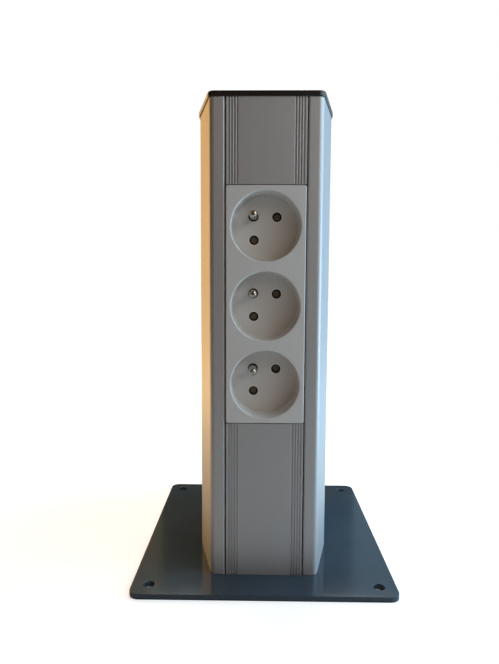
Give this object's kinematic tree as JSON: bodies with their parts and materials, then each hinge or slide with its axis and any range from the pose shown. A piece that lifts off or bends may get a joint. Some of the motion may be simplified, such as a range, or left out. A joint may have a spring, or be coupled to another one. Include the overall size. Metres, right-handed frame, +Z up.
{
  "type": "power column",
  "caption": "Short two-sided aluminium power column on a steel base plate, with a strip of round recessed earth-pin sockets and ribbed cover strips.",
  "frame": {"origin": "centre of the base plate's underside", "axes": "+Z up along the post, the socket strip faces -Y, +X to the right seen from the front"},
  "size_m": [0.1526, 0.1644, 0.2809],
  "materials": {
    "powder_coat": "fine powder coat, semi-gloss",
    "anodised": "natural anodised, satin, drawn lengthwise",
    "cover_anodised": "natural anodised, satin, ribbed edges",
    "cap_plastic": "moulded, fine matt texture",
    "socket_plastic": "moulded, glossy",
    "housing_plastic": "moulded, matt",
    "dark_plastic": "moulded, matt",
    "shutter_plastic": "moulded, matt",
    "nickel": "nickel plated, polished",
    "brass": "stamped, bright",
    "zinc": "zinc plated",
    "spring_steel": "bright spring steel",
    "rubber": "moulded, matt",
    "lead_insulation": "green insulation with a yellow stripe"
  },
  "bodies": {
    "column": {"base_plate": "powder_coat", "base_screws": "zinc", "power_grommet": "rubber", "data_grommet": "rubber", "earth_stud": "brass", "earth_washer": "zinc", "earth_nut": "zinc", "earth_lead": "lead_insulation", "post_profile": "anodised", "end_cap": "cap_plastic", "upper_cover": "cover_anodised", "lower_cover": "cover_anodised", "rear_cover": "cover_anodised", "socket_front": "socket_plastic", "recess_cup_1": "socket_plastic", "recess_cup_2": "socket_plastic", "recess_cup_3": "socket_plastic", "contact_carrier": "dark_plastic", "rear_housing": "housing_plastic", "live_bar": "brass", "neutral_bar": "brass", "earth_bar": "brass", "earth_pin_1": "nickel", "earth_pin_2": "nickel", "earth_pin_3": "nickel", "shutter_spring_1": "spring_steel", "shutter_spring_2": "spring_steel", "shutter_spring_3": "spring_steel", "terminal_clamps": "brass", "terminal_screws": "zinc", "housing_screws": "zinc", "side_clips": "spring_steel"},
    "shutter_1": {"shutter_1": "shutter_plastic"},
    "shutter_2": {"shutter_2": "shutter_plastic"},
    "shutter_3": {"shutter_3": "shutter_plastic"}
  },
  "joints": [
    {"name": "shutter_1_turn", "type": "hinge", "parent": "column", "child": "shutter_1", "pos_m": [0, -0.0418, 0.2077], "axis": [0, 1, 0], "range_deg": [0, 40], "stiffness_Nm_per_rad": 0.0005, "springref_deg": -20.05, "deforming": ["shutter_spring_1"]},
    {"name": "shutter_2_turn", "type": "hinge", "parent": "column", "child": "shutter_2", "pos_m": [0, -0.0418, 0.1627], "axis": [0, 1, 0], "range_deg": [0, 40], "stiffness_Nm_per_rad": 0.0005, "springref_deg": -20.05, "deforming": ["shutter_spring_2"]},
    {"name": "shutter_3_turn", "type": "hinge", "parent": "column", "child": "shutter_3", "pos_m": [0, -0.0418, 0.1177], "axis": [0, 1, 0], "range_deg": [0, 40], "stiffness_Nm_per_rad": 0.0005, "springref_deg": -20.05, "deforming": ["shutter_spring_3"]}
  ]
}
